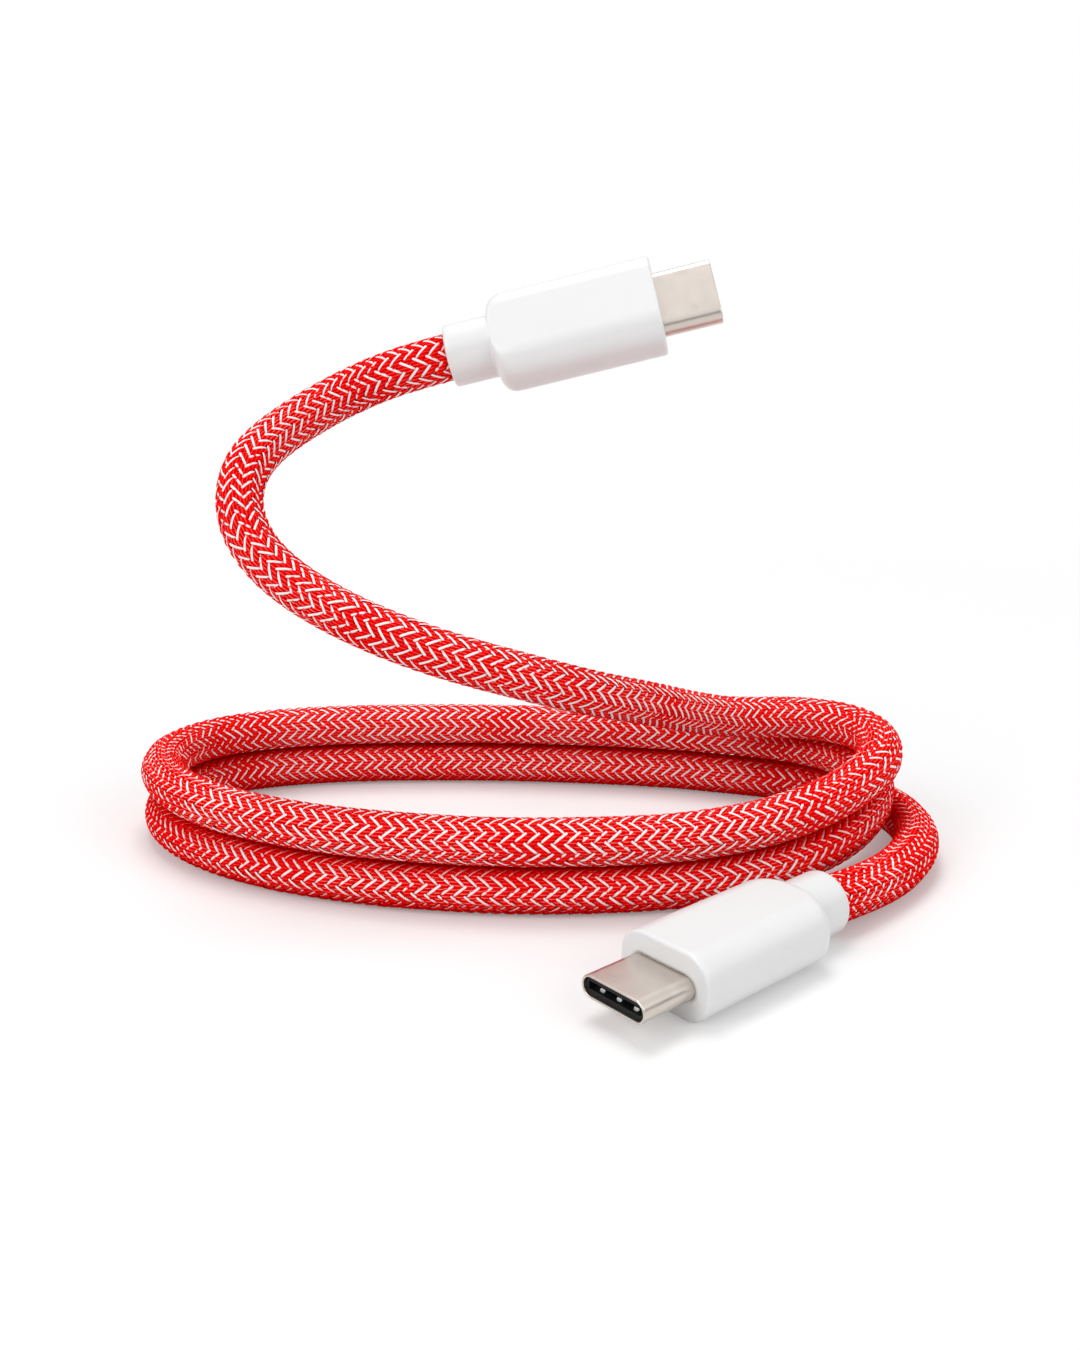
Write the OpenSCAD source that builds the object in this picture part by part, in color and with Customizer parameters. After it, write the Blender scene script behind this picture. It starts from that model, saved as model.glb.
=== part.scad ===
// Braided charging cable with two moulded reversible plugs, lying as a small coil.
// Millimetres. The origin is the middle of the lying housing's underside, +Z up.
// Each plug is built along +X in its own frame: x = 0 is the housing's front face,
// the metal shell points to +X, the cord leaves towards -X, Y is the plug's width.

/* [Housing] */
// Width of the moulded housing
housing_w = 11.6; // [10.8:0.1:13]
// Thickness of the moulded housing
housing_h = 7; // [6.8:0.1:8]
// Radius of the housing's four long corners
housing_corner = 3; // [2.4:0.1:3.4]
// Wall of the housing round the hollow
housing_wall = 0.8; // [0.6:0.05:0.9]
// Wall at the housing's front face
nose_wall = 1.2; // [0.8:0.1:1.3]
// Length of the straight body, from front face to shoulder
body_len = 17.2; // [17:0.1:21]
// Length of the shoulder that blends the body into the round neck
shoulder_len = 2.4; // [1.6:0.1:4]
// Length of the round neck
neck_len = 4.9; // [3:0.1:8]
// Rounding of the housing's front edge
front_round = 0.5; // [0.2:0.1:0.8]
// Rounding of the neck's rear edge
neck_round = 0.4; // [0.1:0.1:0.5]
// Fillet between the shoulder and the neck
neck_fillet = 0.4; // [0.2:0.1:0.6]

/* [Metal shell] */
// Outside width of the plug shell
shell_w = 8.25; // [8.2:0.05:8.3]
// Outside thickness of the plug shell
shell_h = 2.4; // [2.35:0.05:2.45]
// Sheet thickness of the shell
shell_wall = 0.25; // [0.2:0.01:0.27]
// Length of shell that stands out of the housing
shell_reach = 6.65; // [6.3:0.05:6.8]
// Length of shell held inside the housing
shell_grip = 4; // [3.6:0.1:4.6]
// Rounding of the shell's mouth
mouth_round = 0.18; // [0.1:0.02:0.2]
// Length of the two locking windows in the shell
lock_len = 1; // [0.6:0.1:1.2]
// Width of the two locking windows in the shell
lock_w = 2; // [1:0.1:3]

/* [Contact block] */
// Set-back of the block behind the shell's mouth
block_setback = 0.35; // [0.2:0.05:0.5]
// Wall of the block on each side of the slot that takes the socket's tongue
slot_wall = 0.475; // [0.44:0.005:0.52]
// Height of the slot that takes the socket's tongue
slot_h = 0.8; // [0.74:0.02:0.84]
// Depth of the slot
slot_depth = 5.3; // [5:0.1:5.6]
// Distance between neighbouring contact places
contact_spacing = 0.5; // [0.48:0.01:0.5]
// Width of one contact
contact_w = 0.25; // [0.2:0.01:0.3]
// Sheet thickness of the contacts
contact_t = 0.15; // [0.1:0.01:0.16]
// Sheet thickness of the two ground springs
spring_t = 0.12; // [0.08:0.01:0.14]
// Distance between the pads of a ground spring
pad_spacing = 2.2; // [1.8:0.1:2.4]
// Sheet thickness of the latch
latch_t = 0.25; // [0.18:0.01:0.26]

/* [Circuit card] */
// Width of the circuit card
card_w = 7.3; // [6.8:0.1:7.4]
// Thickness of the circuit card
card_t = 0.6; // [0.5:0.05:0.62]
// Length of the circuit card
card_len = 8; // [7.6:0.1:8.4]
// Side of the square marker chip
chip_side = 2; // [1.6:0.1:2.4]
// Height of the marker chip
chip_h = 0.55; // [0.4:0.05:0.7]

/* [Shield, mould and crimp] */
// Sheet thickness of the shield can
can_wall = 0.2; // [0.15:0.01:0.25]
// Length of the shield can
can_len = 9; // [8.6:0.1:9.4]
// Overlap of the shield can on the plug shell
can_lap = 1; // [0.6:0.1:1.2]
// Wall between the hollow's rear end and the shoulder
rear_wall = 1.2; // [0.8:0.1:1.6]
// Length of the crimp ring
ring_len = 2.5; // [2:0.1:3]
// Free length of inner jacket inside the mould
jacket_free = 2; // [1.5:0.1:2.2]

/* [Cord] */
// Outside diameter of the braided cord
cord_d = 5.5; // [5.3:0.1:5.6]
// Diameter of the inner jacket under the braid
jacket_d = 4.4; // [4:0.1:4.6]
// Diameter of the power and ground wires over their insulation
power_wire_d = 0.8; // [0.7:0.05:0.85]
// Diameter of the signal wires over their insulation
signal_wire_d = 0.6; // [0.45:0.05:0.65]
// Half width of the oval coil, measured to the cord's centre
coil_half_w = 45; // [44:0.5:47]
// Half depth of the oval coil, measured to the cord's centre
coil_half_d = 21; // [20.5:0.5:23]
// Height from one turn of the coil to the next
coil_step = 5.6; // [5.6:0.1:6]

/* [Hidden] */
$fn = 48;
e = 0.01;                 // overlap that makes a cut run clean through a face
fit_gap = 0.02;           // clearance of parts pushed into each other

// Where the plugs lie. Plug a lies flat, plug b is held up by the stiff cord.
a_heading = 221;          // direction of plug a's tip, counterclockwise from +X
a_front = 8;              // from the origin forward to plug a's front face
b_front_pos = [-4.2, 37.6, 64.5];   // middle of plug b's front face
b_heading = -3.5;         // direction of plug b's tip, counterclockwise from +X
b_lift = 13.5;            // rise of plug b's tip above level
b_roll = 54;              // turn of plug b about its own axis

// Stations along a plug, counted back from the front face
neck_d = housing_h;                         // the neck runs flush with the flat sides
plug_len = body_len + shoulder_len + neck_len;
hollow_back = body_len - rear_wall;
cord_end = hollow_back + ring_len;          // the braid ends here, inside the neck
jacket_end = hollow_back - jacket_free;
hollow_w = housing_w - 2 * housing_wall;
hollow_h = housing_h - 2 * housing_wall;
hollow_corner = housing_corner - housing_wall;
a_axis_z = housing_h / 2;                   // height of plug a's axis when it lies

// The contact block and what it holds
bore_w = shell_w - 2 * shell_wall;          // inside of the shell
bore_h = shell_h - 2 * shell_wall;
slot_w = bore_w - 2 * slot_wall;
block_w = bore_w - 2 * fit_gap;
block_h = bore_h - 2 * fit_gap;
block_front = shell_reach - block_setback;
block_back = -1;
slot_back = block_front - slot_depth;
latch_h = 0.6;                              // height of the latch arms
latch_bar = 0.3;                            // depth of the bar that joins them
latch_tip = block_front - 0.9;              // front end of the arms
hook_len = 0.8;
hook_reach = 0.3;                           // how far a hook stands into the slot
channel_front = block_front - 1.4;          // front end of the contact channels
seat_depth = 0.15;                          // from the slot's wall to a seated contact
contact_reach = 0.15;                       // how far a contact stands into the slot
contact_seat = slot_h / 2 + seat_depth;
contact_dip = slot_h / 2 - contact_reach;
UPPER_ROW = [1, 4, 5, 6, 7, 9, 12];         // filled places, counted across the mouth
LOWER_ROW = [1, 4, 5, 9, 12];
middle_place = (min(UPPER_ROW) + max(UPPER_ROW)) / 2;
contact_foot = 1.5;                         // length soldered to the card
foot_setback = 0.5;                         // from the card's front edge to the foot
beam_fixed = 1.2;                           // length held in the block behind the beam
dip_setback = 0.7;                          // from the touching point to the channel's front
tip_setback = 0.2;                          // from the contact's tip to the channel's front
tip_drop = 0.1;                             // the tip dips below the seat
spring_len = 1.15;
spring_w = 5.6;
spring_back = block_front - 1.3;
pad_len = 0.35;
pad_w = 0.6;
pad_reach = 0.15;                           // how far a pad stands into the slot
pad_setback = 0.3;                          // from the spring's rear edge to a pad
pad_slope = 0.05;                           // slant of a pad's rear
pad_ramp = 0.25;                            // slant of a pad's front, where the tongue enters
pad_gap = 0.1;                              // clearance of a pad in its window

// The card, its parts and the wires
card_front = block_back - latch_bar;
card_back = card_front - card_len;
card_top = card_t / 2;
solder_len = 1.1;
solder_h = 0.5;
solder_back = card_back + 0.7;
can_front = shell_grip - can_lap;           // counted back from the front face
can_back = can_front + can_len;
wire_window_w = 6.4;
wire_window_h = 1.5;
wire_spacing = 1.3;                           // between wires where they leave the card
lock_back = 2.6;                            // rear end of the locking windows

// Coil: an oval that is a little flatter at the back, wound anticlockwise upwards
coil_centre = [-21, 38.5];
coil_turn = -4;                             // turn of the oval in plan
coil_end_fill = 1.2;                        // widens the ends of the oval
coil_flat = 2;                              // flattens the back of the oval
coil_from = 62;                             // angles at which the winding starts and ends
coil_to = 690;
climb_from = 290;                           // the climb to the next turn starts here
climb_span = 95;
loop_rings = 24;                            // rings in one full turn
coil_sides = 6;
coil_lay = cord_d / 2 * cos(180 / coil_sides);   // axis height when a flat lies down

// Free stretches of cord: points of the cord's axis chosen along its natural fall
tube_sides = 8;
tail_lay = cord_d / 2 * cos(180 / tube_sides);
curve_steps = 2;
TAIL_ROUTE = [[17, 14.5], [22.5, 20], [26.8, 26.8], [28.3, 34.5], [26, 42.5], [20, 48.5]];
RISE_ROUTE = [
    [23.4, 31.3, 12.4], [23.2, 39, 13.5], [16.4, 45.4, 13.2], [8.5, 45.6, 13],
    [1.6, 41.4, 15.1], [-5.5, 33.9, 18.7], [-12.4, 27.8, 21.7], [-20.5, 24, 24.9],
    [-29.2, 23, 27.7], [-38.1, 24, 31], [-46.4, 26.6, 35.4], [-51, 29.3, 40.1],
    [-51.9, 33.7, 45.6], [-49, 39.8, 49.6], [-41.5, 42.4, 54.1], [-33.5, 38.9, 57.3]];

// ---------- points of a plug in the cable's frame ----------
function turn_x(v, a) = [v[0], v[1] * cos(a) - v[2] * sin(a), v[1] * sin(a) + v[2] * cos(a)];
function turn_y(v, a) = [v[0] * cos(a) + v[2] * sin(a), v[1], v[2] * cos(a) - v[0] * sin(a)];
function turn_z(v, a) = [v[0] * cos(a) - v[1] * sin(a), v[0] * sin(a) + v[1] * cos(a), v[2]];
function a_point(v) = turn_z(v + [a_front, 0, 0], a_heading) + [0, 0, a_axis_z];
function b_point(v) = turn_z(turn_y(turn_x(v, b_roll), -b_lift), b_heading) + b_front_pos;

module on_plug_a()
    translate([0, 0, a_axis_z]) rotate([0, 0, a_heading]) translate([a_front, 0, 0]) children();

module on_plug_b()
    translate(b_front_pos) rotate([0, 0, b_heading]) rotate([0, -b_lift, 0])
        rotate([b_roll, 0, 0]) children();

// ---------- outlines and lofts ----------
// Rounded rectangle in the YZ plane of a plug, as points at station x
function rounded_ring(x, w, h, r, per_corner = 8) =
    [for (q = [0:3], i = [0:per_corner - 1])
        let (a = 90 * q + 90 * i / (per_corner - 1),
             cy = (q == 0 || q == 3 ? 1 : -1) * (w / 2 - r),
             cz = (q < 2 ? 1 : -1) * (h / 2 - r))
        [x, cy + r * cos(a), cz + r * sin(a)]];

// Solid skin over rings that have equally many points, first ring to last ring
module skin(rings, flip = false) {
    n = len(rings[0]);
    m = len(rings);
    points = [for (ring = rings, p = ring) p];
    sides = [for (j = [0:m - 2], i = [0:n - 1])
        let (k = (i + 1) % n) each [
            [j * n + i, j * n + k, (j + 1) * n + k],
            [j * n + i, (j + 1) * n + k, (j + 1) * n + i]]];
    caps = [for (i = [1:n - 2]) each [[0, i + 1, i],
        [(m - 1) * n, (m - 1) * n + i, (m - 1) * n + i + 1]]];
    faces = concat(sides, caps);
    polyhedron(points, flip ? [for (f = faces) [f[0], f[2], f[1]]] : faces, convexity = 10);
}

// Flat oval with half-round ends, standing across the plug from station x0 to x1
module flat_oval(x0, x1, w, h)
    translate([x0, 0, 0]) rotate([90, 0, 90]) linear_extrude(x1 - x0) {
        square([w - h, h], center = true);
        for (s = [-1, 1]) translate([s * (w - h) / 2, 0]) circle(d = h);
    }

// Rounded bar across the plug from station x0 to x1
module rounded_bar(x0, x1, w, h, r)
    translate([x0, 0, 0]) rotate([90, 0, 90]) linear_extrude(x1 - x0) {
        square([w, h - 2 * r], center = true);
        square([w - 2 * r, h], center = true);
        for (s = [-1, 1], t = [-1, 1]) translate([s * (w / 2 - r), t * (h / 2 - r)]) circle(r);
    }

// Round bar along the plug's axis from station x0 to x1
module round_bar(x0, x1, d)
    translate([x0, 0, 0]) rotate([0, 90, 0]) cylinder(h = x1 - x0, d = d);

// Box between two stations, centred across the plug, from height z0 to z1
module box(x0, x1, w, z0, z1)
    translate([x0, -w / 2, z0]) cube([x1 - x0, w, z1 - z0]);

// ---------- tubes ----------
// A tube is a row of rings, each square to the path's heading at its own point
function unit(v) = v / norm(v);
function headings(path, first) = [for (i = [0:len(path) - 1])
    i == 0 ? first : unit(path[min(i + 1, len(path) - 1)] - path[i - 1])];
function tube_ring(p, t, s, d, sides) = let (u = cross(s, t))
    [for (i = [0:sides - 1]) let (a = 360 * (i + 0.5) / sides - 90)
        p + d / 2 * (cos(a) * s + sin(a) * u)];
function level_side(t) = unit(cross(t, [0, 0, 1]));

// Smooth curve through all points but the first and last, which only set its ends' headings
function between(a, b, c, d, t) = (2 * b + (c - a) * t + (2 * a - 5 * b + 4 * c - d) * t ^ 2
    + (3 * b - a - 3 * c + d) * t ^ 3) / 2;
function curve_through(p) = concat(
    [for (i = [1:len(p) - 3], j = [0:curve_steps - 1])
        between(p[i - 1], p[i], p[i + 1], p[i + 2], j / curve_steps)],
    [p[len(p) - 2]]);

// Keeps the axis of a lying stretch from dipping below the height at which it lies
function kept_up(path, z) = [for (p = path) [p[0], p[1], max(p[2], z)]];
function squared(s, t) = unit(s - (s * t) * t);

// A lying tube keeps one face down, a free one is carried along without a twist
function level_tube(path, first, d, sides) = let (heads = headings(path, first))
    [for (i = [0:len(path) - 1]) tube_ring(path[i], heads[i], level_side(heads[i]), d, sides)];
function free_tube(path, first, d, sides) = let (heads = headings(path, first), n = len(path))
    [for (i = 0, s = level_side(first); i < n; i = i + 1, s = squared(s, heads[min(i, n - 1)]))
        tube_ring(path[i], heads[i], s, d, sides)];

// ---------- cord ----------
function ease(t) = let (c = max(0, min(1, t))) c * c * (3 - 2 * c);
function coil_rise(a) = ease((a - climb_from) / climb_span)
    + ease((a - 360 - climb_from) / climb_span);
function coil_plan(a) = [
    (coil_half_w + coil_end_fill) * cos(a) - coil_end_fill * cos(3 * a),
    coil_half_d * sin(a) + coil_flat * cos(2 * a)];
function coil_point(a) = let (q = coil_plan(a))
    [coil_centre[0] + q[0] * cos(coil_turn) - q[1] * sin(coil_turn),
     coil_centre[1] + q[0] * sin(coil_turn) + q[1] * cos(coil_turn),
     coil_lay + coil_step * coil_rise(a)];
function coil_heading(a) = unit(coil_point(a + 1) - coil_point(a - 1));
coil_steps = round((coil_to - coil_from) / 360 * loop_rings);
coil_in = coil_point(coil_from) - cord_d * coil_heading(coil_from);
coil_out = coil_point(coil_to) + cord_d * coil_heading(coil_to);
COIL_PATH = concat([coil_in],
    [for (i = [0:coil_steps]) coil_point(coil_from + (coil_to - coil_from) * i / coil_steps)],
    [coil_out]);
COIL_RINGS = level_tube(COIL_PATH, coil_heading(coil_from), cord_d, coil_sides);

// Least gap between rings of the coil that lie more than half a turn apart
coil_gap = min([for (i = [0:len(COIL_RINGS) - 1], j = [i + loop_rings / 2:1:len(COIL_RINGS) - 1])
    each [for (p = COIL_RINGS[i], q = COIL_RINGS[j]) norm(p - q)]]);
echo(coil_least_gap_to_itself = coil_gap);  // cord_coil

TAIL_PATH = kept_up(concat([a_point([-cord_end, 0, 0])], curve_through(concat(
    [a_point([-cord_end, 0, 0]), a_point([-plug_len, 0, 0])],
    [for (p = TAIL_ROUTE) [p[0], p[1], tail_lay]],
    [[coil_in[0], coil_in[1], tail_lay], COIL_PATH[1]]))), tail_lay);
RISE_PATH = concat(curve_through(concat([COIL_PATH[coil_steps + 1], coil_out], RISE_ROUTE,
    [b_point([-plug_len, 0, 0]), b_point([-cord_end, 0, 0])])), [b_point([-cord_end, 0, 0])]);

module cord_tail() color("#d8141c")
    skin(level_tube(TAIL_PATH, a_point([-1, 0, 0]) - a_point([0, 0, 0]), cord_d, tube_sides));

module cord_coil() color("#d8141c") skin(COIL_RINGS);

module cord_rise() color("#d8141c")
    skin(free_tube(RISE_PATH, coil_heading(coil_to), cord_d, tube_sides));

// ---------- housing ----------
// One white moulding: a flat body, a soft shoulder and a round neck with the cord's bore
front_steps = 4;
shoulder_steps = 7;
fillet_steps = 2;
neck_steps = 3;
shoulder_share = 1 - 2 * neck_fillet / (housing_w - neck_d);   // drop before the fillet
function body_ring(x, inset) = rounded_ring(-x, housing_w - 2 * inset, housing_h - 2 * inset,
    housing_corner - inset);
// Ring of the shoulder: s goes from 0 at the body's outline to 1 at the neck's
function shoulder_ring(x, s) = rounded_ring(-x, housing_w + (neck_d - housing_w) * s,
    housing_h + (neck_d - housing_h) * s, housing_corner + (neck_d / 2 - housing_corner) * s);
function neck_ring(x, inset) = rounded_ring(-x, neck_d - 2 * inset, neck_d - 2 * inset,
    neck_d / 2 - inset);
HOUSING_RINGS = concat(
    [for (i = [0:front_steps]) let (a = 90 * i / front_steps)
        body_ring(front_round * (1 - cos(a)), front_round * (1 - sin(a)))],
    [for (i = [0:shoulder_steps]) let (a = 90 * i / shoulder_steps)
        shoulder_ring(body_len + (shoulder_len - neck_fillet) * sin(a),
            shoulder_share * (1 - cos(a)))],
    [for (i = [1:fillet_steps]) let (a = 90 * i / fillet_steps)
        shoulder_ring(body_len + shoulder_len - neck_fillet * cos(a),
            shoulder_share + (1 - shoulder_share) * sin(a))],
    [for (i = [0:neck_steps]) let (a = 90 * i / neck_steps)
        neck_ring(plug_len - neck_round * (1 - sin(a)), neck_round * (1 - cos(a)))]);

module housing() color("#f4f4f3") difference() {
    skin(HOUSING_RINGS, flip = true);
    rounded_bar(-hollow_back, -nose_wall, hollow_w, hollow_h, hollow_corner);
    flat_oval(-nose_wall - e, e, shell_w, shell_h);
    round_bar(-plug_len - e, -hollow_back + e, cord_d);
}

// ---------- metal shell ----------
// Side view of the shell's rounded mouth, from the axis out to half the thickness
module lip_side(len, half) {
    square([len, half - mouth_round]);
    square([len - mouth_round, half]);
    translate([len - mouth_round, half - mouth_round]) circle(mouth_round);
}

// Seamless drawn shell with a rounded mouth, and windows that lock it in the mould
module shell() color("#b9b2ab") difference() {
    translate([-shell_grip, 0, 0]) {
        for (s = [-1, 1]) translate([0, s * (shell_w - shell_h) / 2, 0]) rotate([0, 90, 0])
            rotate_extrude() mirror([1, -1]) lip_side(shell_grip + shell_reach, shell_h / 2);
        translate([0, (shell_w - shell_h) / 2, 0]) rotate([90, 0, 0])
            linear_extrude(shell_w - shell_h) for (s = [0, 1]) mirror([0, s])
                lip_side(shell_grip + shell_reach, shell_h / 2);
    }
    flat_oval(-shell_grip - e, shell_reach + e, bore_w, bore_h);
    for (s = [0, 1]) mirror([0, 0, s])
        box(-lock_back, -lock_back + lock_len, lock_w, 0, shell_h);
}

// ---------- contact block ----------
module contact_channel(place)
    translate([block_back - e,
        (place - middle_place) * contact_spacing - contact_w / 2 - fit_gap, 0])
        cube([channel_front - block_back + e, contact_w + 2 * fit_gap,
            contact_seat + contact_t + fit_gap]);

module spring_seat() {
    box(spring_back, spring_back + spring_len, spring_w + 2 * fit_gap,
        block_h / 2 - spring_t - fit_gap, block_h);
    for (i = [-1:1]) translate([0, i * pad_spacing, 0])
        box(spring_back + pad_setback - pad_gap,
            spring_back + pad_setback + pad_len + pad_ramp + pad_gap,
            pad_w + 4 * fit_gap, 0, block_h);
}

// Black moulding that fills the shell, with the tongue slot, contact channels and latch slots
module contact_block() color("#151515") difference() {
    flat_oval(block_back, block_front, block_w, block_h);
    box(slot_back, block_front + e, slot_w, -slot_h / 2, slot_h / 2);
    for (s = [-1, 1]) translate([0, s * (slot_w + latch_t) / 2, 0])
        box(block_back - e, latch_tip + fit_gap, latch_t + 2 * fit_gap,
            -latch_h / 2 - fit_gap, latch_h / 2 + fit_gap);
    difference() {
        union() {
            for (place = UPPER_ROW) contact_channel(place);
            mirror([0, 0, 1]) for (place = LOWER_ROW) contact_channel(place);
        }
        box(block_back - contact_foot, slot_back, slot_w, -contact_seat, contact_seat);
    }
    spring_seat();
    mirror([0, 0, 1]) spring_seat();
}

// ---------- contacts ----------
// Side view of one contact: solder tail, step into the block, beam and touching point
tail_front = card_front - foot_setback;
tail_back = tail_front - contact_foot;
step_front = block_back - contact_t;
beam_back = slot_back + beam_fixed;
CONTACT_LINE = [[tail_back, card_top], [tail_front, card_top], [step_front, contact_seat],
    [beam_back, contact_seat], [channel_front - dip_setback, contact_dip],
    [channel_front - tip_setback, contact_seat - tip_drop]];
CONTACT_SIDE = concat(CONTACT_LINE,
    [for (i = [len(CONTACT_LINE) - 1:-1:0]) CONTACT_LINE[i] + [0, contact_t]]);

module contact(place)
    translate([0, (place - middle_place) * contact_spacing + contact_w / 2, 0])
        rotate([90, 0, 0]) linear_extrude(contact_w) polygon(CONTACT_SIDE);

module contacts_upper() color("#d8b46a") for (place = UPPER_ROW) contact(place);

module contacts_lower() color("#d8b46a")
    mirror([0, 0, 1]) for (place = LOWER_ROW) contact(place);

// ---------- latch ----------
// Steel fork: two spring arms whose hooks catch the tongue's sides, joined behind the block
module latch() color("#8f9296") {
    for (s = [0, 1]) mirror([0, s, 0])
        translate([0, 0, -latch_h / 2]) linear_extrude(latch_h) polygon([
            [block_back - latch_bar, slot_w / 2 + latch_t],
            [block_back - latch_bar, slot_w / 2],
            [latch_tip - hook_len, slot_w / 2],
            [latch_tip - hook_len / 2, slot_w / 2 - hook_reach],
            [latch_tip, slot_w / 2],
            [latch_tip, slot_w / 2 + latch_t]]);
    box(block_back - latch_bar, block_back, slot_w + latch_t, -latch_h / 2, latch_h / 2);
}

// ---------- ground springs ----------
// Steel strip between block and shell, with three pads pressed down into the slot
pad_back = spring_back + pad_setback;
PAD_SIDE = [[pad_back - pad_slope, block_h / 2], [pad_back, slot_h / 2 - pad_reach],
    [pad_back + pad_len, slot_h / 2 - pad_reach], [pad_back + pad_len + pad_ramp, block_h / 2]];

module ground_spring() color("#c3c5c7") {
    box(spring_back + fit_gap, spring_back + spring_len - fit_gap, spring_w,
        block_h / 2 - spring_t, block_h / 2);
    for (i = [-1:1]) translate([0, i * pad_spacing + pad_w / 2, 0])
        rotate([90, 0, 0]) linear_extrude(pad_w) polygon(PAD_SIDE);
}

// ---------- circuit card and its parts ----------
module circuit_card() color("#1f5b3a")
    box(card_back, card_front, card_w, -card_t / 2, card_t / 2);

module marker_chip() color("#202225")
    translate([(tail_back + solder_back + solder_len) / 2, 0, 0])
        box(-chip_side / 2, chip_side / 2, chip_side, card_top, card_top + chip_h);

module capacitors() color("#b08d5f") for (i = [-1:1])
    translate([(card_back + card_front) / 2 - 0.8 + 0.9 * i, 1.6 * i, 0])
        box(-0.25, 0.25, 1, -card_top - 0.5, -card_top);

// Wires leave the card side by side: place -2 to 2 across, d over the insulation
function wire_bundle(place) = [1.2, 0.5, 0][2 - abs(place)] * sign(place);
function wire_path(place, d) = [
    [solder_back, place * wire_spacing, card_top + d / 2],
    [card_back - 0.1, place * wire_spacing, card_top + d / 2],
    [-can_back + 0.5, place * wire_spacing * 0.9, 0],
    [-can_back - 0.3, place * wire_spacing * 0.8, 0],
    [-jacket_end + 0.4, wire_bundle(place), abs(place) == 1 ? 0.45 : place == 0 ? -0.45 : 0],
    [-jacket_end, wire_bundle(place), abs(place) == 1 ? 0.45 : place == 0 ? -0.45 : 0]];

module wire(place, d) skin(level_tube(wire_path(place, d), [-1, 0, 0], d, tube_sides));

module wire_ground() color("#1c1c1c") wire(-2, power_wire_d);

module wire_data_plus() color("#2f8f3f") wire(-1, signal_wire_d);

module wire_config() color("#2c5fb3") wire(0, signal_wire_d);

module wire_data_minus() color("#f2f2f2") wire(1, signal_wire_d);

module wire_power() color("#c4161c") wire(2, power_wire_d);

// Solder fillets between the card's rear pads and the stripped wire ends
module solder_joints() color("#a9abae") for (place = [-2:2])
    translate([0, place * wire_spacing, 0]) rotate([90, 0, 90])
        translate([0, 0, solder_back]) linear_extrude(solder_len)
            polygon([[-0.45, card_top], [0.45, card_top], [0.2, card_top + solder_h],
                [-0.2, card_top + solder_h]]);

// ---------- shield can ----------
// Folded tin-plated can that laps over the shell and covers the card
module shield_can() color("#a7aaad") difference() {
    flat_oval(-can_back, -can_front, shell_w + 2 * can_wall, shell_h + 2 * can_wall);
    flat_oval(-can_back + can_wall, -can_front + e, shell_w, shell_h);
    box(-can_back - e, -can_back + can_wall + e, wire_window_w,
        -wire_window_h / 2, wire_window_h / 2);
}

// ---------- inner mould ----------
// Translucent first moulding that fills the hollow and grips shell, can and jacket
module inner_mould() color("#dedfd8") {
    difference() {
        rounded_bar(-hollow_back, -nose_wall, hollow_w, hollow_h, hollow_corner);
        flat_oval(-can_front - e, -nose_wall + e, shell_w, shell_h);
        flat_oval(-can_back, -can_front, shell_w + 2 * can_wall, shell_h + 2 * can_wall);
        rounded_bar(-jacket_end, -can_back + e, wire_window_w + 0.4, jacket_d * 0.7, 0.8);
        round_bar(-hollow_back - e, -jacket_end + e, jacket_d);
    }
    for (s = [0, 1]) mirror([0, 0, s])
        box(-lock_back + fit_gap, -lock_back + lock_len - fit_gap, lock_w - 2 * fit_gap,
            shell_h / 2 - shell_wall, shell_h / 2 + e);
}

// ---------- crimp ring and inner jacket ----------
module crimp_ring() color("#c7a25a") difference() {
    round_bar(-cord_end, -hollow_back, cord_d);
    round_bar(-cord_end - e, -hollow_back + e, jacket_d);
}

module inner_jacket() color("#8c1014") round_bar(-cord_end, -jacket_end, jacket_d);

// ---------- nodes ----------
cord_tail();
cord_coil();
cord_rise();

on_plug_a() housing();  // a_housing
on_plug_a() shell();  // a_shell
on_plug_a() contact_block();  // a_contact_block
on_plug_a() contacts_upper();  // a_contacts_upper
on_plug_a() contacts_lower();  // a_contacts_lower
on_plug_a() latch();  // a_latch
on_plug_a() ground_spring();  // a_ground_spring_upper
on_plug_a() mirror([0, 0, 1]) ground_spring();  // a_ground_spring_lower
on_plug_a() circuit_card();  // a_circuit_card
on_plug_a() marker_chip();  // a_marker_chip
on_plug_a() capacitors();  // a_capacitors
on_plug_a() solder_joints();  // a_solder_joints
on_plug_a() wire_power();  // a_wire_power
on_plug_a() wire_ground();  // a_wire_ground
on_plug_a() wire_config();  // a_wire_config
on_plug_a() wire_data_plus();  // a_wire_data_plus
on_plug_a() wire_data_minus();  // a_wire_data_minus
on_plug_a() shield_can();  // a_shield_can
on_plug_a() inner_mould();  // a_inner_mould
on_plug_a() crimp_ring();  // a_crimp_ring
on_plug_a() inner_jacket();  // a_inner_jacket

on_plug_b() housing();  // b_housing
on_plug_b() shell();  // b_shell
on_plug_b() contact_block();  // b_contact_block
on_plug_b() contacts_upper();  // b_contacts_upper
on_plug_b() contacts_lower();  // b_contacts_lower
on_plug_b() latch();  // b_latch
on_plug_b() ground_spring();  // b_ground_spring_upper
on_plug_b() mirror([0, 0, 1]) ground_spring();  // b_ground_spring_lower
on_plug_b() circuit_card();  // b_circuit_card
on_plug_b() marker_chip();  // b_marker_chip
on_plug_b() capacitors();  // b_capacitors
on_plug_b() solder_joints();  // b_solder_joints
on_plug_b() wire_power();  // b_wire_power
on_plug_b() wire_ground();  // b_wire_ground
on_plug_b() wire_config();  // b_wire_config
on_plug_b() wire_data_plus();  // b_wire_data_plus
on_plug_b() wire_data_minus();  // b_wire_data_minus
on_plug_b() shield_can();  // b_shield_can
on_plug_b() inner_mould();  // b_inner_mould
on_plug_b() crimp_ring();  // b_crimp_ring
on_plug_b() inner_jacket();  // b_inner_jacket
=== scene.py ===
import math

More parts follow.
